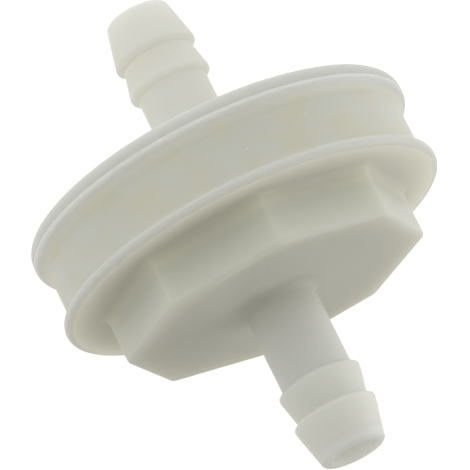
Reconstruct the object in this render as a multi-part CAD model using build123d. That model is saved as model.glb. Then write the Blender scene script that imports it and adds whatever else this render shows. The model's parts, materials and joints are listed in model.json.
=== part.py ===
from build123d import *
from math import cos, pi, radians, sin, tan
import os

# Disc-shaped inline fuel filter, in millimetres.
# The filter axis is Z, and the inlet with the eight-sided boss points to +Z.
# The origin is on the axis, halfway between the two nipple tips.

# Housing, across the axis
across_flats = 25.4      # eight-sided boss, 1 in
boss_sides = 8
flange_reach = 4.55      # from a flat of the boss to the rim of the flanges
groove_depth = 0.88      # below the rim of the flanges
seam_step = 0.1          # the body's rim stands this far inside the cover's
wall = 1.6

# Housing, along the axis
cover_t = 1.4            # cover plate and its rim
seam_flange_t = 0.95     # flange of the body that meets the cover
seam_rim_t = 0.3         # straight part of that flange's rim, beside the seam
groove_w = 4.8
boss_flange_t = 0.85     # flange that carries the boss
boss_h = 4.7             # boss beyond its flange

# Rounding of the housing
cover_edge_r = 0.85
seam_flange_r = 0.4
boss_flange_low_r = 0.3
boss_flange_top_r = 0.42
boss_corner_r = 0.7
boss_edge_r = 0.45
boss_root_r = 0.9
chamber_corner_r = 1.0
fine_r = 0.45            # a turned rounding up to this size is one flat band, not two

# Hose nipples, for hose of 1/4 in bore
neck_d = 6.3
crest_d = 7.35           # across the barbs
tip_d = 5.65
bore_d = 3.8
barb_pitch = 2.98        # from one barb to the next
barb_land = 0.25         # flat along a crest
barb_back = 0.32         # steep face behind a crest
tip_edge_r = 0.42
bore_mouth_c = 0.25
funnel_d = 6.0           # where the bore opens into the housing
neck_root_r = 0.9
inlet_nipple_l = 14.75   # from the end of the boss
outlet_nipple_l = 15.78  # from the face of the cover
inlet_lead_l = 3.58      # tapered nose in front of the first barb
outlet_lead_l = 3.82

# Screen, whose plain edge is held between the body and the cover
screen_margin = 0.5      # part of the plain edge that shows inside the chamber
weave_pitch = 2.5        # coarser than the real weave, to keep the faces few
weave_thread_w = 0.8
weave_thread_t = 0.25
weave_bite = 0.1         # how far crossing threads press into each other

# Spigot and ribs of the cover
spigot_wall = 1.3
rib_count = 4
rib_t = 1.0
rib_start = 5.0          # from the axis, clear of the outlet's funnel

# Clearances
spigot_fit = 0.08        # radial, in the recess
screen_fit = 0.08        # radial, in the recess
screen_play = 0.05       # from the screen to the spigot and the ribs under it

# Radii that follow
flange_r = across_flats / 2 + flange_reach
body_rim_r = flange_r - seam_step
groove_r = flange_r - groove_depth
recess_r = groove_r - wall
chamber_r = across_flats / 2 - wall
boss_corner_reach = across_flats / 2 / cos(pi / boss_sides)
bore_r = bore_d / 2
neck_r = neck_d / 2
crest_r = crest_d / 2
tip_r = tip_d / 2
spigot_r = recess_r - spigot_fit
screen_r = recess_r - screen_fit
weave_r = chamber_r - screen_margin

# Heights that follow, from the outlet tip upwards
body_l = cover_t + seam_flange_t + groove_w + boss_flange_t + boss_h
outlet_tip_z = -(outlet_nipple_l + body_l + inlet_nipple_l) / 2
cover_face_z = outlet_tip_z + outlet_nipple_l
weld_z = cover_face_z + cover_t
groove_low_z = weld_z + seam_flange_t
groove_top_z = groove_low_z + groove_w
boss_root_z = groove_top_z + boss_flange_t
boss_end_z = boss_root_z + boss_h
ledge_z = boss_root_z - wall
chamber_top_z = boss_end_z - wall
screen_low_z = ledge_z - 2 * weave_thread_t + weave_bite
spigot_top_z = screen_low_z - screen_play


def rounded(before, corner, after, rounding):
    """Points that replace a corner by one or two flat bands, which follow its arc."""
    to_before = (before - corner).normalized()
    to_after = (after - corner).normalized()
    half = radians(to_before.get_angle(to_after)) / 2
    centre = corner + (to_before + to_after).normalized() * (rounding / sin(half))
    spoke = corner + to_before * (rounding / tan(half)) - centre
    sweep = 180 - 2 * half * 180 / pi
    if to_before.cross(to_after).Y > 0:
        sweep = -sweep
    bands = 1 + (rounding > fine_r)
    return [centre + spoke.rotate(Axis.Y, sweep * step / bands) for step in range(bands + 1)]


def turned(*corners):
    """Solid of revolution on Z from its corners, each (radius, height, rounding)."""
    points = [Vector(r, 0, z) for r, z, rounding in corners]
    outline = []
    for number, (r, z, rounding) in enumerate(corners):
        before = points[number - 1]
        after = points[(number + 1) % len(points)]
        if rounding:
            outline += rounded(before, points[number], after, rounding)
        else:
            outline.append(points[number])
    return revolve(make_face(Polyline(*outline, close=True)), Axis.Z, 360)


def drum(radius, low, top):
    """Plain cylinder on Z between two heights."""
    return Pos(0, 0, (low + top) / 2) * Cylinder(radius, top - low)


def tube(outer, inner, low, top):
    """Plain ring on Z between two heights."""
    return drum(outer, low, top) - drum(inner, low, top)


def nipple(length, lead_l):
    """Barbed nipple standing on the plane at zero height, with its tip up."""
    foot = neck_r + 2 * neck_root_r
    first = length - lead_l
    second = first - barb_pitch
    return turned(
        (0, -neck_root_r, 0),
        (foot, -neck_root_r, 0),
        (foot, 0, 0),
        (neck_r, 0, neck_root_r),
        (neck_r, second - barb_land - barb_back, 0),
        (crest_r, second - barb_land, 0),
        (crest_r, second, 0),
        (neck_r, first - barb_land - barb_back, 0),
        (crest_r, first - barb_land, 0),
        (crest_r, first, 0),
        (tip_r, length, tip_edge_r),
        (0, length, 0),
    )


def flow_bore(length, plate_t):
    """Bore of a nipple with a chamfered mouth, and the funnel through the plate under it."""
    mouth = Pos(0, 0, length - bore_mouth_c / 2) * Cone(bore_r, bore_r + bore_mouth_c, bore_mouth_c)
    funnel = Pos(0, 0, -plate_t / 2) * Cone(funnel_d / 2, bore_r, plate_t)
    return funnel + drum(bore_r, 0, length) + mouth


def boss():
    """Eight-sided boss with rounded corners, sunk into its flange by one wall."""
    plan = RegularPolygon(across_flats / 2, boss_sides, major_radius=False, rotation=180 / boss_sides)
    plan = fillet(plan.vertices(), boss_corner_r)
    block = Pos(0, 0, ledge_z) * extrude(plan, boss_end_z - ledge_z)
    return fillet(block.faces().sort_by(Axis.Z)[-1].edges(), boss_edge_r)


def housing_disc():
    """Solid disc with both flanges and the groove between them."""
    return turned(
        (0, weld_z, 0),
        (body_rim_r, weld_z, 0),
        (body_rim_r, weld_z + seam_rim_t, seam_flange_r),
        (groove_r, groove_low_z, 0),
        (groove_r, groove_top_z, 0),
        (flange_r, groove_top_z, boss_flange_low_r),
        (flange_r, boss_root_z, boss_flange_top_r),
        (0, boss_root_z, 0),
    )


def inlet_body():
    """Cup with the flanges, the boss and the inlet nipple."""
    shell = housing_disc() + boss()
    root = shell.edges().filter_by_position(Axis.Z, boss_root_z - 0.01, boss_root_z + 0.01)
    root = [edge for edge in root if edge.bounding_box().size.X < 2 * boss_corner_reach]
    root = [edge for edge in root if (edge @ 0.5).X ** 2 + (edge @ 0.5).Y ** 2 < (boss_corner_reach + 0.1) ** 2]
    shell = fillet(root, boss_root_r)
    shell += Pos(0, 0, boss_end_z) * nipple(inlet_nipple_l, inlet_lead_l)
    shell -= drum(recess_r, weld_z, ledge_z)
    shell -= turned(
        (0, weld_z, 0),
        (chamber_r, weld_z, 0),
        (chamber_r, chamber_top_z, chamber_corner_r),
        (0, chamber_top_z, 0),
    )
    shell -= Pos(0, 0, boss_end_z) * flow_bore(inlet_nipple_l, wall)
    return shell


def rib():
    """Rib along X under the screen, from near the bore into the wall of the spigot."""
    reach = spigot_r - spigot_wall / 2 - rib_start
    foot_z = weld_z - cover_t / 2
    height = spigot_top_z - foot_z
    return Pos(rib_start + reach / 2, 0, foot_z + height / 2) * Box(reach, rib_t, height)


def outlet_cover():
    """Round cover with the outlet nipple, and inside it the spigot and the ribs."""
    cover = turned(
        (0, cover_face_z, 0),
        (flange_r, cover_face_z, cover_edge_r),
        (flange_r, weld_z, 0),
        (0, weld_z, 0),
    )
    cover += tube(spigot_r, spigot_r - spigot_wall, weld_z, spigot_top_z)
    for turn in range(rib_count):
        cover += Rot(0, 0, (turn + 0.5) * 360 / rib_count) * rib()
    down = Pos(0, 0, cover_face_z) * Rot(180, 0, 0)
    cover += down * nipple(outlet_nipple_l, outlet_lead_l)
    cover -= down * flow_bore(outlet_nipple_l, cover_t)
    return cover


def filter_screen():
    """Screen of two crossing layers of threads inside a plain edge, under the ledge."""
    each_side = int(weave_r / weave_pitch)
    thread = Box(2 * weave_r, weave_thread_w, weave_thread_t)
    low_z = screen_low_z + weave_thread_t / 2
    top_z = ledge_z - weave_thread_t / 2
    edge = tube(screen_r, weave_r, screen_low_z, ledge_z)
    weave = Part()
    for row in range(-each_side, each_side + 1):
        weave += Pos(0, row * weave_pitch, low_z) * thread
        weave += Pos(row * weave_pitch, 0, top_z) * Rot(0, 0, 90) * thread
    trimmed = weave & drum(weave_r + screen_margin / 2, screen_low_z, ledge_z)
    return edge + trimmed


os.makedirs("parts", exist_ok=True)
for name, piece in (
    ("inlet_body", inlet_body()),
    ("outlet_cover", outlet_cover()),
    ("filter_screen", filter_screen()),
):
    export_step(piece, "parts/" + name + ".step")
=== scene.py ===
import json
import math

import bpy
from mathutils import Matrix, Vector


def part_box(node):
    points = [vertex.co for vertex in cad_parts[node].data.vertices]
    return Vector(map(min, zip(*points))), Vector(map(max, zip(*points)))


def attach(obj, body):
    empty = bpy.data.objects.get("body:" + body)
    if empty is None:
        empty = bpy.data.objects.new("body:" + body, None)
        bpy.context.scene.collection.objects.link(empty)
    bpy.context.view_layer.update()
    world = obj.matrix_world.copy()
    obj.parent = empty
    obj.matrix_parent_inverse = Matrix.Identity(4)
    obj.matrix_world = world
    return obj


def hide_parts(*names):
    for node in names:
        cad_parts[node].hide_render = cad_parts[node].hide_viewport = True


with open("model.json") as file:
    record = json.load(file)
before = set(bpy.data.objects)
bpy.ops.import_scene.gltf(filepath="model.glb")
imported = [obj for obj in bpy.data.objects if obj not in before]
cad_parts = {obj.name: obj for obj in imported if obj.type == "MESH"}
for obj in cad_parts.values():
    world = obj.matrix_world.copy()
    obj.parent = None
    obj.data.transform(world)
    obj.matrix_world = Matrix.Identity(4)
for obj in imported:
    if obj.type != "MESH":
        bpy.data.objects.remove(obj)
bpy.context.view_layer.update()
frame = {"record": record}
mm = 0.001
print("frame loaded")

# Reaches and heights that several pieces share, in millimetres, taken from the frame
bodyLow, bodyHigh = [[value / mm for value in corner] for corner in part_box("inlet_body")]
coverLow, coverHigh = [[value / mm for value in corner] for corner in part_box("outlet_cover")]
screenLow, screenHigh = [[value / mm for value in corner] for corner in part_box("filter_screen")]
mountRadius = {mount["name"]: mount["dims"]["r_mm"] for mount in frame["record"]["mounts"]}

# The moulded housing, in millimetres: walls, flanges, groove and roundings
housing = {
    "seamStep": 0.1, "grooveDepth": 0.88, "wall": 1.6, "coverPlate": 1.4, "seamFlange": 0.95, "seamRim": 0.3,
    "groove": 4.8, "bossFlange": 0.85, "boss": 4.7, "acrossFlats": 25.4,
    "coverEdge": 0.85, "seamEdge": 0.06, "seamFlangeEdge": 0.4, "grooveLowCorner": 1.4, "grooveTopCorner": 0.5,
    "flangeLowEdge": 0.3,
    "flangeTopEdge": 0.42, "bossCorner": 0.7, "bossEdge": 0.45, "bossRoot": 0.9, "chamberCorner": 1.0,
    "weldGap": 0.01, "flash": 0.09, "flashFoot": 0.14, "flashEdge": 0.03, "flashInset": 0.01, "spigotWall": 1.3, "spigotFit": 0.08, "screenPlay": 0.05, "ribCount": 4, "ribThick": 1.0, "ribStart": 5.0,
    "ribEdge": 0.15,
}
# A hose nipple, in millimetres
nippleForm = {
    "neck": 3.15, "tip": 2.825, "funnel": 3.0, "mouth": 0.25, "pitch": 2.98, "land": 0.25, "back": 0.32,
    "crestEdge": 0.12, "valley": 0.1, "tipEdge": 0.42, "root": 0.9, "inletLead": 3.58, "outletLead": 3.82,
}
# How finely the turned forms are cut
fineness = {"steps": 192, "roundSegments": 5, "cornerSegments": 6, "bossSegments": 6, "rootRing": 0.6,
            "endRing": 5.4, "endSkirt": 0.8, "rootSkirt": 1.12, "rimLift": 0.004}

flangeR = min(coverHigh[0], coverHigh[1], -coverLow[0], -coverLow[1])
inletTipZ = bodyHigh[2]
outletTipZ = coverLow[2]
weldZ = bodyLow[2]
bodySeatZ = weldZ + housing["weldGap"] / 2
coverSeatZ = weldZ - housing["weldGap"] / 2
coverFaceZ = weldZ - housing["coverPlate"]
grooveLowZ = weldZ + housing["seamFlange"]
grooveTopZ = grooveLowZ + housing["groove"]
bossRootZ = grooveTopZ + housing["bossFlange"]
bossEndZ = bossRootZ + housing["boss"]
ledgeZ = bossRootZ - housing["wall"]
chamberTopZ = bossEndZ - housing["wall"]
bodyRimR = flangeR - housing["seamStep"]
flashR = flangeR - housing["flashInset"]
grooveR = flangeR - housing["grooveDepth"]
recessR = grooveR - housing["wall"]
chamberR = housing["acrossFlats"] / 2 - housing["wall"]
spigotR = recessR - housing["spigotFit"]
spigotTopZ = screenLow[2] - housing["screenPlay"]


def clearSelection():
    if bpy.context.mode != "OBJECT":
        bpy.ops.object.mode_set(mode="OBJECT")
    bpy.ops.object.select_all(action="DESELECT")


def useOnly(piece):
    clearSelection()
    piece.select_set(True)
    bpy.context.view_layer.objects.active = piece


def place(radius, height):
    return Vector((radius, 0.0, height)) * mm


def pick(piece, kind, test):
    # leaves the piece in edit mode with only what passes the test selected
    bpy.ops.object.mode_set(mode="OBJECT")
    mesh = piece.data
    for group in (mesh.vertices, mesh.edges, mesh.polygons):
        group.foreach_set("select", [False] * len(group))
    bpy.context.tool_settings.mesh_select_mode = (kind == "VERT", kind == "EDGE", kind == "FACE")
    if kind == "VERT":
        for vertex in mesh.vertices:
            vertex.select = test(vertex.co)
    elif kind == "EDGE":
        for edge in mesh.edges:
            edge.select = test([mesh.vertices[number].co for number in edge.vertices])
    else:
        for face in mesh.polygons:
            face.select = test(face)
    bpy.ops.object.mode_set(mode="EDIT")


def pickOpenRims(piece, height):
    # leaves only the open edges at one height selected
    pick(piece, "EDGE", lambda ends: False)
    bpy.ops.mesh.select_non_manifold(use_wire=False, use_multi_face=False, use_non_contiguous=False, use_verts=False)
    bpy.ops.object.mode_set(mode="OBJECT")
    mesh = piece.data
    for edge in mesh.edges:
        level = all(abs(mesh.vertices[number].co.z / mm - height) < 0.01 for number in edge.vertices)
        edge.select = edge.select and level
    for vertex in mesh.vertices:
        vertex.select = False
    for face in mesh.polygons:
        face.select = False
    bpy.ops.object.mode_set(mode="EDIT")


def drawProfile(name, corners, closed=False):
    # corners are (radius, height, rounding) in mm, drawn as a wire in the X-Z plane
    clearSelection()
    bpy.ops.mesh.primitive_plane_add(size=mm)
    wire = bpy.context.object
    wire.name = name
    bpy.context.tool_settings.mesh_select_mode = (True, False, False)
    bpy.ops.object.mode_set(mode="EDIT")
    bpy.ops.mesh.select_all(action="SELECT")
    bpy.ops.mesh.merge(type="CENTER")
    bpy.ops.transform.translate(value=place(*corners[0][:2]))
    for before, after in zip(corners, corners[1:]):
        step = place(*after[:2]) - place(*before[:2])
        bpy.ops.mesh.extrude_vertices_move(TRANSFORM_OT_translate={"value": step})
    if closed:
        ends = [place(*corners[0][:2]), place(*corners[-1][:2])]
        pick(wire, "VERT", lambda spot: min((spot - end).length for end in ends) < 0.001 * mm)
        bpy.ops.mesh.edge_face_add()
    return wire


def roundProfile(wire, corners, closed=False):
    count = len(corners)
    for number, (radius, height, rounding) in enumerate(corners):
        if not rounding or (not closed and number in (0, count - 1)):
            continue
        corner = place(radius, height)
        toBefore = place(*corners[number - 1][:2]) - corner
        toAfter = place(*corners[(number + 1) % count][:2]) - corner
        reach = rounding * mm / math.tan(toBefore.angle(toAfter) / 2)
        pick(wire, "VERT", lambda spot: (spot - corner).length < 0.001 * mm)
        bpy.ops.mesh.bevel(offset=reach, segments=fineness["roundSegments"], profile=0.5, affect="VERTICES")


def spinProfile(wire):
    bpy.ops.mesh.select_all(action="SELECT")
    bpy.ops.mesh.spin(steps=fineness["steps"], angle=2 * math.pi, center=(0, 0, 0), axis=(0, 0, 1))
    bpy.ops.mesh.select_all(action="SELECT")
    bpy.ops.mesh.remove_doubles(threshold=0.0005 * mm)


def finishShell(piece, angle=35):
    bpy.ops.object.mode_set(mode="EDIT")
    bpy.ops.mesh.select_all(action="SELECT")
    bpy.ops.mesh.normals_make_consistent(inside=False)
    bpy.ops.object.mode_set(mode="OBJECT")
    useOnly(piece)
    bpy.ops.object.shade_smooth_by_angle(angle=math.radians(angle))
    bpy.ops.object.modifier_add(type="WEIGHTED_NORMAL")
    piece.modifiers[-1].keep_sharp = True
    bpy.ops.object.modifier_apply(modifier=piece.modifiers[-1].name)


def nippleCorners(standZ, tipZ, lead):
    # outside of a nipple from its tip down to its neck, on either side of the housing
    up = 1 if tipZ > standZ else -1
    form = nippleForm
    crest = mountRadius["inlet_barb"]
    corners = [(form["tip"], tipZ, form["tipEdge"])]
    for barb in range(2):
        front = tipZ - up * (lead + barb * form["pitch"])
        corners.append((crest, front, form["crestEdge"]))
        corners.append((crest, front - up * form["land"], form["crestEdge"]))
        corners.append((form["neck"], front - up * (form["land"] + form["back"]), form["valley"]))
    corners.append((form["neck"], standZ, form["root"]))
    return corners


def boreCorners(plateInZ, plateOutZ, tipZ):
    # funnel through the plate, then the bore and its chamfered mouth
    up = 1 if tipZ > plateOutZ else -1
    bore = mountRadius["inlet_bore"]
    mouth = nippleForm["mouth"]
    return [(nippleForm["funnel"], plateInZ, 0), (bore, plateOutZ, 0), (bore, tipZ - up * mouth, 0),
            (bore + mouth, tipZ, 0)]


def octagonLoop(name, height):
    # eight corners rounded in plan, and flats cut to match the turned rings
    corner = housing["acrossFlats"] / 2 / math.cos(math.pi / 8)
    clearSelection()
    bpy.ops.mesh.primitive_circle_add(vertices=8, radius=corner * mm, location=(0, 0, height * mm),
                                      rotation=(0, 0, math.pi / 8))
    loop = bpy.context.object
    loop.name = name
    bpy.ops.object.transform_apply(location=True, rotation=True, scale=True)
    bpy.ops.object.mode_set(mode="EDIT")
    bpy.ops.mesh.select_all(action="SELECT")
    reach = housing["bossCorner"] * mm * math.tan(math.pi / 8)
    bpy.ops.mesh.bevel(offset=reach, segments=fineness["cornerSegments"], profile=0.5, affect="VERTICES")
    flat = 2 * corner * math.sin(math.pi / 8) * mm - 2 * reach
    pick(loop, "EDGE", lambda ends: abs((ends[0] - ends[1]).length - flat) < 0.01 * mm)
    cuts = fineness["steps"] // 8 - fineness["cornerSegments"] - 1
    bpy.ops.mesh.subdivide(number_cuts=cuts)
    return loop


def flatReach(spot):
    # how far a point lies out towards the nearest flat of the boss
    angle = math.atan2(spot.y, spot.x)
    nearest = round(angle / (math.pi / 4)) * math.pi / 4
    return math.hypot(spot.x, spot.y) * math.cos(angle - nearest) / mm


def bossStrip():
    # walls of the boss with their rounded root and end, open at both sides
    flat = housing["acrossFlats"] / 2
    strip = octagonLoop("boss", bossRootZ)
    bpy.ops.mesh.select_all(action="SELECT")
    bpy.ops.mesh.extrude_edges_move(TRANSFORM_OT_translate={"value": (0, 0, housing["boss"] * mm)})
    for height, growth in ((bossEndZ, fineness["endSkirt"]), (bossRootZ, fineness["rootSkirt"])):
        pick(strip, "EDGE", lambda ends: all(abs(end.z / mm - height) < 0.001 for end in ends))
        bpy.ops.mesh.extrude_edges_move()
        bpy.ops.transform.resize(value=(growth, growth, 1), center_override=(0, 0, height * mm))
    bpy.ops.mesh.select_all(action="SELECT")
    bpy.ops.mesh.normals_make_consistent(inside=False)
    for height, rounding in ((bossEndZ, housing["bossEdge"]), (bossRootZ, housing["bossRoot"])):
        pick(strip, "EDGE", lambda ends: all(abs(end.z / mm - height) < 0.001 and
                                             abs(flatReach(end) - flat) < 0.3 for end in ends))
        bpy.ops.mesh.bevel(offset=rounding * mm, segments=fineness["bossSegments"], profile=0.5, affect="EDGES")
    return strip


def inletShell():
    ringR = flangeR - fineness["rootRing"]
    corners = [(ringR, bossRootZ - fineness["rimLift"], 0), (flangeR, bossRootZ, housing["flangeTopEdge"]),
               (flangeR, grooveTopZ, housing["flangeLowEdge"]), (grooveR, grooveTopZ, housing["grooveTopCorner"]),
               (grooveR, grooveLowZ, housing["grooveLowCorner"]),
               (bodyRimR, weldZ + housing["seamRim"], housing["seamFlangeEdge"]),
               (bodyRimR, weldZ + housing["flashFoot"], 0), (flashR, weldZ + housing["flash"], housing["flashEdge"]),
               (flashR, bodySeatZ, 0), (recessR, bodySeatZ, 0), (recessR, ledgeZ, 0), (chamberR, ledgeZ, 0),
               (chamberR, chamberTopZ, housing["chamberCorner"])]
    corners += boreCorners(chamberTopZ, bossEndZ, inletTipZ)
    corners += nippleCorners(bossEndZ, inletTipZ, nippleForm["inletLead"])
    corners.append((fineness["endRing"], bossEndZ + fineness["rimLift"], 0))
    shell = drawProfile("inletShell", corners)
    roundProfile(shell, corners)
    spinProfile(shell)
    boss = bossStrip()
    clearSelection()
    boss.select_set(True)
    shell.select_set(True)
    bpy.context.view_layer.objects.active = shell
    bpy.ops.object.join()
    for height in (bossRootZ, bossEndZ):
        pickOpenRims(shell, height)
        bpy.ops.mesh.bridge_edge_loops()
        bpy.ops.mesh.select_all(action="SELECT")
        bpy.ops.mesh.normals_make_consistent(inside=False)
    finishShell(shell)
    return shell


def coverRibs():
    # one rib from near the funnel into the spigot wall, and three copies a quarter turn on
    reach = spigotR - housing["spigotWall"] / 2 - housing["ribStart"]
    footZ = weldZ - housing["coverPlate"] / 2
    clearSelection()
    bpy.ops.mesh.primitive_cube_add(size=mm)
    rib = bpy.context.object
    rib.name = "coverRib"
    bpy.ops.object.mode_set(mode="EDIT")
    bpy.ops.mesh.select_all(action="SELECT")
    bpy.ops.transform.resize(value=(reach, housing["ribThick"], spigotTopZ - footZ))
    bpy.ops.transform.translate(value=place(housing["ribStart"] + reach / 2, (footZ + spigotTopZ) / 2))
    pick(rib, "FACE", lambda face: face.normal.z > 0.9)
    bpy.ops.mesh.bevel(offset=housing["ribEdge"] * mm, segments=3, affect="EDGES")
    turns = []
    for quarter in range(housing["ribCount"]):
        useOnly(rib)
        bpy.ops.object.duplicate()
        turned = bpy.context.object
        bpy.ops.object.mode_set(mode="EDIT")
        bpy.ops.mesh.select_all(action="SELECT")
        bpy.ops.transform.rotate(value=(quarter + 0.5) * 2 * math.pi / housing["ribCount"], orient_axis="Z",
                                 center_override=(0, 0, 0))
        bpy.ops.object.mode_set(mode="OBJECT")
        turns.append(turned)
    useOnly(rib)
    bpy.ops.object.delete()
    for turned in turns:
        turned.select_set(True)
    bpy.context.view_layer.objects.active = turns[0]
    bpy.ops.object.join()
    return bpy.context.object


def outletShell():
    corners = [(spigotR - housing["spigotWall"], coverSeatZ, 0), (spigotR - housing["spigotWall"], spigotTopZ, 0),
               (spigotR, spigotTopZ, 0), (spigotR, coverSeatZ, 0), (flangeR, coverSeatZ, housing["seamEdge"]),
               (flangeR, coverFaceZ, housing["coverEdge"])]
    corners += reversed(nippleCorners(coverFaceZ, outletTipZ, nippleForm["outletLead"]))
    corners += reversed(boreCorners(coverSeatZ, coverFaceZ, outletTipZ))
    shell = drawProfile("outletShell", corners, closed=True)
    roundProfile(shell, corners, closed=True)
    spinProfile(shell)
    bpy.ops.mesh.normals_make_consistent(inside=False)
    ribs = coverRibs()
    useOnly(shell)
    bpy.ops.object.modifier_add(type="BOOLEAN")
    shell.modifiers[-1].operation = "UNION"
    shell.modifiers[-1].solver = "EXACT"
    shell.modifiers[-1].object = ribs
    bpy.ops.object.modifier_apply(modifier=shell.modifiers[-1].name)
    useOnly(ribs)
    bpy.ops.object.delete()
    useOnly(shell)
    finishShell(shell)
    return shell


# The woven screen, in millimetres: plain weave of round threads inside a plain edge
weave = {"pitch": 0.6, "threadR": 0.095, "rise": 0.105, "sides": 6, "steps": 8, "margin": 0.5, "grip": 0.3,
         "edgeRounding": 0.08}


def wavyThread():
    # one thread over two pitches along X, made by extruding a ring along its wave
    clearSelection()
    bpy.ops.mesh.primitive_circle_add(vertices=weave["sides"], radius=weave["threadR"] * mm,
                                      location=(0, 0, weave["rise"] * mm), rotation=(0, math.pi / 2, 0))
    thread = bpy.context.object
    bpy.ops.object.transform_apply(location=True, rotation=True, scale=True)
    bpy.ops.object.mode_set(mode="EDIT")
    bpy.ops.mesh.select_all(action="SELECT")
    waves = [weave["rise"] * math.cos(2 * math.pi * step / weave["steps"]) for step in range(weave["steps"] + 1)]
    for before, after in zip(waves, waves[1:]):
        step = place(2 * weave["pitch"] / weave["steps"], after - before)
        bpy.ops.mesh.extrude_edges_move(TRANSFORM_OT_translate={"value": step})
    bpy.ops.object.mode_set(mode="OBJECT")
    return thread


def wovenScreen():
    pitch = weave["pitch"]
    threads = [wavyThread()]
    for across, along, turn in ((pitch, pitch, 0), (0, pitch, math.pi / 2), (pitch, 0, math.pi / 2)):
        useOnly(threads[0])
        bpy.ops.object.duplicate()
        bpy.ops.object.mode_set(mode="EDIT")
        bpy.ops.mesh.select_all(action="SELECT")
        if turn:
            bpy.ops.transform.rotate(value=-turn, orient_axis="Z", center_override=(0, 0, 0))
        bpy.ops.transform.translate(value=Vector((across, along, 0)) * mm)
        bpy.ops.object.mode_set(mode="OBJECT")
        threads.append(bpy.context.object)
    clearSelection()
    for thread in threads:
        thread.select_set(True)
    screen = threads[0]
    bpy.context.view_layer.objects.active = screen
    bpy.ops.object.join()
    screen.name = "wovenScreen"
    hole = chamberR - weave["margin"]
    count = 2 * math.ceil((hole + weave["grip"]) / (2 * pitch)) + 2
    for axis in range(2):
        bpy.ops.object.modifier_add(type="ARRAY")
        array = screen.modifiers[-1]
        array.count = count
        array.use_relative_offset = False
        array.use_constant_offset = True
        array.constant_offset_displace = Vector([2 * pitch * mm * (axis == side) for side in range(3)])
        array.use_merge_vertices = True
        array.merge_threshold = 0.01 * mm
        bpy.ops.object.modifier_apply(modifier=array.name)
    bpy.ops.object.mode_set(mode="EDIT")
    bpy.ops.mesh.select_all(action="SELECT")
    middle = (screenLow[2] + screenHigh[2]) / 2
    bpy.ops.transform.translate(value=Vector((-count * pitch, -count * pitch, middle)) * mm)
    bpy.ops.mesh.remove_doubles(threshold=0.002 * mm)
    reach = (hole + weave["grip"]) * mm
    pick(screen, "VERT", lambda spot: math.hypot(spot.x, spot.y) > reach)
    bpy.ops.mesh.delete(type="VERT")
    bpy.ops.mesh.select_all(action="SELECT")
    bpy.ops.mesh.delete_loose(use_verts=True, use_edges=True, use_faces=False)
    pick(screen, "EDGE", lambda ends: False)
    bpy.ops.mesh.select_non_manifold(use_wire=False, use_multi_face=False, use_non_contiguous=False, use_verts=False)
    bpy.ops.mesh.fill_holes(sides=0)
    rimR = recessR - housing["spigotFit"]
    corners = [(hole, screenLow[2], weave["edgeRounding"]), (rimR, screenLow[2], weave["edgeRounding"]),
               (rimR, screenHigh[2], weave["edgeRounding"]), (hole, screenHigh[2], weave["edgeRounding"])]
    edge = drawProfile("screenEdge", corners, closed=True)
    roundProfile(edge, corners, closed=True)
    spinProfile(edge)
    clearSelection()
    edge.select_set(True)
    screen.select_set(True)
    bpy.context.view_layer.objects.active = screen
    bpy.ops.object.join()
    finishShell(screen, angle=60)
    return screen


inlet = inletShell()
print("inlet shell", len(inlet.data.polygons), "faces")
outlet = outletShell()
print("outlet shell", len(outlet.data.polygons), "faces")
screen = wovenScreen()
print("woven screen", len(screen.data.polygons), "faces")
for piece, node in ((inlet, "inlet_body"), (outlet, "outlet_cover"), (screen, "filter_screen")):
    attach(piece, "root")
    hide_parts(node)

# The camera, in the axes that the photograph was taken in
view = {"tilt": 18.3788, "roll": 63.437, "turn": 12.291, "distance": 340.77, "middle": -1.435,
        "aimX": -0.102, "aimY": -1.589, "lens": 309.8, "sensor": 36}


def addCamera():
    tilt, roll, turn = [math.radians(view[name]) for name in ("tilt", "roll", "turn")]
    toCamera = Vector((-math.sin(turn) * math.cos(tilt), -math.cos(turn) * math.cos(tilt), math.sin(tilt)))
    across = Vector((math.cos(turn), -math.sin(turn), 0))
    upward = Vector((math.sin(tilt) * math.sin(turn), math.sin(tilt) * math.cos(turn), math.cos(tilt)))
    right = -math.sin(roll) * across + math.cos(roll) * upward
    top = -math.cos(roll) * across - math.sin(roll) * upward
    middle = Vector((0, 0, view["middle"]))
    eye = middle + toCamera * view["distance"]
    aim = middle + right * view["aimX"] + top * view["aimY"]
    back = (eye - aim).normalized()
    right = top.cross(back).normalized()
    top = back.cross(right)
    camera = bpy.data.cameras.new("camera")
    camera.lens = view["lens"]
    camera.sensor_width = view["sensor"]
    holder = bpy.data.objects.new("camera", camera)
    holder.matrix_world = Matrix.Translation(eye * mm) @ Matrix((right, top, back)).transposed().to_4x4()
    bpy.context.scene.collection.objects.link(holder)
    bpy.context.scene.camera = holder
    return right, top, back


camRight, camUp, camBack = addCamera()


# Milky natural nylon: base colours with painted light and shade over parts of the housing, how deep light goes in
# millimetres, and the unevenness of the moulding
nylonLook = {"roughness": 0.42, "depth": 5.0, "depthTint": (1.0, 0.97, 0.86), "cloudSize": 260, "grainSize": 1500,
             "waveSize": 330, "bump": 0.5, "bumpReach": 0.12}
# on the body, tone, warm and speck are the nylon's own colour; the rest is painted light and shade: a lighter band
# at the boss root, darker boss walls and end face, a lighter nipple and tip, and a darker flange rim
bodyLook = {"tone": (0.76, 0.765, 0.69), "warm": (0.77, 0.74, 0.59), "clouds": 0.75, "speck": (0.9, 0.9, 0.86),
            "rootBandPaintedLight": (0.90, 0.885, 0.745), "bossPaintedShade": (0.665, 0.67, 0.62), "bossShadeShare": 0.85, "nipplePaintedLight": (0.89, 0.895, 0.8), "nippleLightShare": 0.9,
            "nippleFade": 4.0, "tipPaintedLight": (0.99, 0.99, 0.95), "tipFade": 1.2, "rimPaintedShade": (0.59, 0.60, 0.59),
            "rimShadeShare": 0.85}
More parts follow.
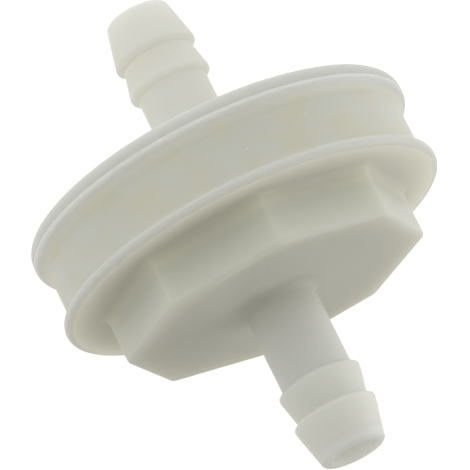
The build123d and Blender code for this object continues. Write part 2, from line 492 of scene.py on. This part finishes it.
# on the cover, the rim colour is painted shade that darkens the flange rim
coverLook = {"tone": (0.79, 0.79, 0.735), "warm": (0.80, 0.77, 0.67), "clouds": 0.6, "speck": (0.9, 0.9, 0.86),
             "rimPaintedShade": (0.56, 0.57, 0.555), "rimShadeShare": 0.9}
# painted highlight: a near-white line along the seam, on body and cover
seamPaintedHighlight = {"tone": (1.0, 1.0, 0.98), "share": 0.9, "near": 0.09, "far": 0.16}
screenLook = {"tone": (0.8, 0.8, 0.76), "warm": (0.78, 0.77, 0.7), "clouds": 0.3, "speck": (0.86, 0.86, 0.82)}


def newGroup(name, sockets):
    group = bpy.data.node_groups.new(name, "ShaderNodeTree")
    for label, way, kind in sockets:
        group.interface.new_socket(name=label, in_out=way, socket_type="NodeSocket" + kind)
    start = group.nodes.new("NodeGroupInput")
    end = group.nodes.new("NodeGroupOutput")
    return group, start, end


def cloudyTone():
    # soft patches, some warm and some clear, and a few bright specks
    group, start, end = newGroup("cloudyTone", [
        ("Vector", "INPUT", "Vector"), ("Tone", "INPUT", "Color"), ("Warm", "INPUT", "Color"),
        ("Speck", "INPUT", "Color"), ("Size", "INPUT", "Float"), ("Amount", "INPUT", "Float"),
        ("Color", "OUTPUT", "Color")])
    nodes, links = group.nodes, group.links
    noise = nodes.new("ShaderNodeTexNoise")
    noise.inputs["Detail"].default_value = 4.0
    noise.inputs["Roughness"].default_value = 0.6
    patches = nodes.new("ShaderNodeMapRange")
    patches.interpolation_type = "SMOOTHSTEP"
    patches.inputs["From Min"].default_value = 0.38
    patches.inputs["From Max"].default_value = 0.66
    share = nodes.new("ShaderNodeMath")
    share.operation = "MULTIPLY"
    blend = nodes.new("ShaderNodeMix")
    blend.data_type = "RGBA"
    cells = nodes.new("ShaderNodeTexVoronoi")
    cells.inputs["Scale"].default_value = 210
    dot = nodes.new("ShaderNodeMapRange")
    dot.inputs["From Min"].default_value = 0.032
    dot.inputs["From Max"].default_value = 0.012
    pale = nodes.new("ShaderNodeMix")
    pale.data_type = "RGBA"
    links.new(start.outputs["Vector"], noise.inputs["Vector"])
    links.new(start.outputs["Size"], noise.inputs["Scale"])
    links.new(noise.outputs["Fac"], patches.inputs["Value"])
    links.new(patches.outputs["Result"], share.inputs[0])
    links.new(start.outputs["Amount"], share.inputs[1])
    links.new(share.outputs["Value"], blend.inputs["Factor"])
    links.new(start.outputs["Tone"], blend.inputs["A"])
    links.new(start.outputs["Warm"], blend.inputs["B"])
    links.new(start.outputs["Vector"], cells.inputs["Vector"])
    links.new(cells.outputs["Distance"], dot.inputs["Value"])
    links.new(dot.outputs["Result"], pale.inputs["Factor"])
    links.new(blend.outputs["Result"], pale.inputs["A"])
    links.new(start.outputs["Speck"], pale.inputs["B"])
    links.new(pale.outputs["Result"], end.inputs["Color"])
    return group


def mouldedSkin():
    # fine grain over slow waves, as a height, and a roughness that varies with it
    group, start, end = newGroup("mouldedSkin", [
        ("Vector", "INPUT", "Vector"), ("Grain Size", "INPUT", "Float"), ("Wave Size", "INPUT", "Float"),
        ("Roughness", "INPUT", "Float"), ("Height", "OUTPUT", "Float"), ("Roughness", "OUTPUT", "Float")])
    nodes, links = group.nodes, group.links
    grain = nodes.new("ShaderNodeTexNoise")
    grain.inputs["Detail"].default_value = 2.0
    waves = nodes.new("ShaderNodeTexNoise")
    waves.inputs["Detail"].default_value = 1.0
    weight = nodes.new("ShaderNodeMath")
    weight.operation = "MULTIPLY_ADD"
    weight.inputs[1].default_value = 0.22
    vary = nodes.new("ShaderNodeMath")
    vary.operation = "MULTIPLY_ADD"
    vary.inputs[1].default_value = 0.16
    links.new(start.outputs["Vector"], grain.inputs["Vector"])
    links.new(start.outputs["Grain Size"], grain.inputs["Scale"])
    links.new(start.outputs["Vector"], waves.inputs["Vector"])
    links.new(start.outputs["Wave Size"], waves.inputs["Scale"])
    links.new(grain.outputs["Fac"], weight.inputs[0])
    links.new(waves.outputs["Fac"], weight.inputs[2])
    links.new(weight.outputs["Value"], end.inputs["Height"])
    links.new(waves.outputs["Fac"], vary.inputs[0])
    links.new(start.outputs["Roughness"], vary.inputs[2])
    links.new(vary.outputs["Value"], end.inputs["Roughness"])
    return group


cloudGroup = cloudyTone()
skinGroup = mouldedSkin()


def nylonMaterial(name, look):
    material = bpy.data.materials.new(name)
    material.use_nodes = True
    nodes, links = material.node_tree.nodes, material.node_tree.links
    shader = nodes["Principled BSDF"]
    shader.inputs["Subsurface Weight"].default_value = 1.0
    shader.inputs["Subsurface Radius"].default_value = nylonLook["depthTint"]
    shader.inputs["Subsurface Scale"].default_value = nylonLook["depth"] * mm
    shader.inputs["IOR"].default_value = 1.5
    place = nodes.new("ShaderNodeTexCoord")
    cloud = nodes.new("ShaderNodeGroup")
    cloud.node_tree = cloudGroup
    cloud.inputs["Tone"].default_value = (*look["tone"], 1)
    cloud.inputs["Warm"].default_value = (*look["warm"], 1)
    cloud.inputs["Speck"].default_value = (*look["speck"], 1)
    cloud.inputs["Size"].default_value = nylonLook["cloudSize"]
    cloud.inputs["Amount"].default_value = look["clouds"]
    skin = nodes.new("ShaderNodeGroup")
    skin.node_tree = skinGroup
    skin.inputs["Grain Size"].default_value = nylonLook["grainSize"]
    skin.inputs["Wave Size"].default_value = nylonLook["waveSize"]
    skin.inputs["Roughness"].default_value = nylonLook["roughness"] - 0.08
    bump = nodes.new("ShaderNodeBump")
    bump.inputs["Strength"].default_value = nylonLook["bump"]
    bump.inputs["Distance"].default_value = nylonLook["bumpReach"] * mm
    links.new(place.outputs["Object"], cloud.inputs["Vector"])
    links.new(place.outputs["Object"], skin.inputs["Vector"])
    links.new(cloud.outputs["Color"], shader.inputs["Base Color"])
    links.new(skin.outputs["Roughness"], shader.inputs["Roughness"])
    links.new(skin.outputs["Height"], bump.inputs["Height"])
    links.new(bump.outputs["Normal"], shader.inputs["Normal"])
    return material


def paintLightShade(material, colour, share, axis, start, full):
    # paints one more band of light or shade into the base colour where a distance in mm goes from start to full
    nodes, links = material.node_tree.nodes, material.node_tree.links
    base = nodes["Principled BSDF"].inputs["Base Color"]
    under = base.links[0].from_socket
    place = nodes.new("ShaderNodeTexCoord")
    parts = nodes.new("ShaderNodeSeparateXYZ")
    links.new(place.outputs["Object"], parts.inputs["Vector"])
    distance = parts.outputs["Z"]
    if axis == "seam":
        apart = nodes.new("ShaderNodeMath")
        apart.operation = "SUBTRACT"
        apart.inputs[1].default_value = weldZ * mm
        size = nodes.new("ShaderNodeMath")
        size.operation = "ABSOLUTE"
        links.new(distance, apart.inputs[0])
        links.new(apart.outputs["Value"], size.inputs[0])
        distance = size.outputs["Value"]
    if axis == "radius":
        flat = nodes.new("ShaderNodeCombineXYZ")
        links.new(parts.outputs["X"], flat.inputs["X"])
        links.new(parts.outputs["Y"], flat.inputs["Y"])
        length = nodes.new("ShaderNodeVectorMath")
        length.operation = "LENGTH"
        links.new(flat.outputs["Vector"], length.inputs[0])
        distance = length.outputs["Value"]
    mask = nodes.new("ShaderNodeMapRange")
    mask.interpolation_type = "SMOOTHSTEP"
    mask.inputs["From Min"].default_value = start * mm
    mask.inputs["From Max"].default_value = full * mm
    mask.inputs["To Max"].default_value = share
    blend = nodes.new("ShaderNodeMix")
    blend.data_type = "RGBA"
    blend.inputs["B"].default_value = (*colour, 1)
    links.new(distance, mask.inputs["Value"])
    links.new(mask.outputs["Result"], blend.inputs["Factor"])
    links.new(under, blend.inputs["A"])
    links.new(blend.outputs["Result"], base)
    return mask


bodyNylon = nylonMaterial("bodyNylon", bodyLook)
# painted light: a lighter, yellowish band over the shaded root of the boss
paintLightShade(bodyNylon, bodyLook["rootBandPaintedLight"], 1.0, "height", bossRootZ - 0.5, bossRootZ - 0.1)
# painted shade: darker boss walls and end face
paintLightShade(bodyNylon, bodyLook["bossPaintedShade"], bodyLook["bossShadeShare"], "height", bossRootZ + 0.4, bossRootZ + 1.8)
# painted light: the inlet nipple made lighter, standing in for light through its thin walls
paintLightShade(bodyNylon, bodyLook["nipplePaintedLight"], bodyLook["nippleLightShare"], "height", bossEndZ, bossEndZ + bodyLook["nippleFade"])
# painted light: a near-white nipple tip
paintLightShade(bodyNylon, bodyLook["tipPaintedLight"], 1.0, "height", inletTipZ - bodyLook["tipFade"], inletTipZ - 0.3)
# painted shade: a darker flange rim
paintLightShade(bodyNylon, bodyLook["rimPaintedShade"], bodyLook["rimShadeShare"], "radius", grooveR + 0.2, flangeR - 0.3)
coverNylon = nylonMaterial("coverNylon", coverLook)
# painted shade: a darker rim on the cover
paintLightShade(coverNylon, coverLook["rimPaintedShade"], coverLook["rimShadeShare"], "radius", grooveR - 0.4, flangeR - 0.4)
# painted highlight: a near-white line at the seam on body and cover
for material in (bodyNylon, coverNylon):
    paintLightShade(material, seamPaintedHighlight["tone"], seamPaintedHighlight["share"], "seam", seamPaintedHighlight["far"], seamPaintedHighlight["near"])
screenNylon = nylonMaterial("screenNylon", screenLook)
for piece, slot, material in ((inlet, "body_nylon", bodyNylon), (outlet, "cover_nylon", coverNylon),
                              (screen, "screen_mesh", screenNylon)):
    piece.data.materials.clear()
    piece.data.materials.append(material)
outlet.visible_shadow = False    # the cover is thin and milky, so light goes through it into the body
print("nylon finished")

# A light table under the filter, a soft round lamp to its right, and a dim room
studio = {"tableGlow": (0.975, 0.985, 0.965), "table": 0.92, "tableZ": -0.045, "tableSize": 4.0, "tableWhite": 0.7,
          "roomTone": (1.0, 0.985, 0.88), "roomTop": 0.37, "roomSide": 0.56,
          "lampSize": 0.07, "lampPower": 0.0095, "lampReach": 0.065}


def lightTable():
    clearSelection()
    bpy.ops.mesh.primitive_plane_add(size=studio["tableSize"])
    table = bpy.context.object
    table.name = "lightTable"
    bpy.ops.object.mode_set(mode="EDIT")
    bpy.ops.mesh.select_all(action="SELECT")
    bpy.ops.transform.translate(value=(0, 0, studio["tableZ"]))
    bpy.ops.object.mode_set(mode="OBJECT")
    material = bpy.data.materials.new("tableTop")
    material.use_nodes = True
    nodes, links = material.node_tree.nodes, material.node_tree.links
    nodes.clear()
    output = nodes.new("ShaderNodeOutputMaterial")
    path = nodes.new("ShaderNodeLightPath")
    mix = nodes.new("ShaderNodeMixShader")
    seen = nodes.new("ShaderNodeAddShader")
    white = nodes.new("ShaderNodeEmission")
    white.inputs["Strength"].default_value = studio["tableWhite"]
    matte = nodes.new("ShaderNodeBsdfDiffuse")
    matte.inputs["Color"].default_value = (0.9, 0.9, 0.9, 1)
    glow = nodes.new("ShaderNodeEmission")
    glow.inputs["Color"].default_value = (*studio["tableGlow"], 1)
    glow.inputs["Strength"].default_value = studio["table"]
    links.new(white.outputs["Emission"], seen.inputs[0])
    links.new(matte.outputs["BSDF"], seen.inputs[1])
    links.new(path.outputs["Is Camera Ray"], mix.inputs["Fac"])
    links.new(glow.outputs["Emission"], mix.inputs[1])
    links.new(seen.outputs["Shader"], mix.inputs[2])
    links.new(mix.outputs["Shader"], output.inputs["Surface"])
    table.data.materials.append(material)


def studioRoom():
    # white where the camera sees it, and otherwise brighter at the sides than overhead
    world = bpy.data.worlds.new("studioRoom")
    bpy.context.scene.world = world
    world.use_nodes = True
    nodes, links = world.node_tree.nodes, world.node_tree.links
    seen = nodes["Background"]
    seen.inputs["Color"].default_value = (1, 1, 1, 1)
    room = nodes.new("ShaderNodeBackground")
    room.inputs["Color"].default_value = (*studio["roomTone"], 1)
    place = nodes.new("ShaderNodeTexCoord")
    parts = nodes.new("ShaderNodeSeparateXYZ")
    level = nodes.new("ShaderNodeMapRange")
    level.inputs["To Min"].default_value = studio["roomSide"]
    level.inputs["To Max"].default_value = studio["roomTop"]
    path = nodes.new("ShaderNodeLightPath")
    mix = nodes.new("ShaderNodeMixShader")
    links.new(place.outputs["Generated"], parts.inputs["Vector"])
    links.new(parts.outputs["Z"], level.inputs["Value"])
    links.new(level.outputs["Result"], room.inputs["Strength"])
    links.new(path.outputs["Is Camera Ray"], mix.inputs["Fac"])
    links.new(room.outputs["Background"], mix.inputs[1])
    links.new(seen.outputs["Background"], mix.inputs[2])
    links.new(mix.outputs["Shader"], nodes["World Output"].inputs["Surface"])


def softLamp(name, direction):
    lamp = bpy.data.lights.new(name, "AREA")
    lamp.shape = "DISK"
    lamp.size = studio["lampSize"]
    lamp.energy = studio["lampPower"]
    holder = bpy.data.objects.new(name, lamp)
    holder.location = direction.normalized() * studio["lampReach"]
    holder.rotation_euler = direction.to_track_quat("Z", "Y").to_euler()
    holder.visible_camera = False
    bpy.context.scene.collection.objects.link(holder)


lightTable()
studioRoom()
softLamp("sideLamp", camRight + Vector((0, 0, 0.3)))
print("studio lit")

bpy.context.scene.view_settings.view_transform = "Standard"
print("scene ready")
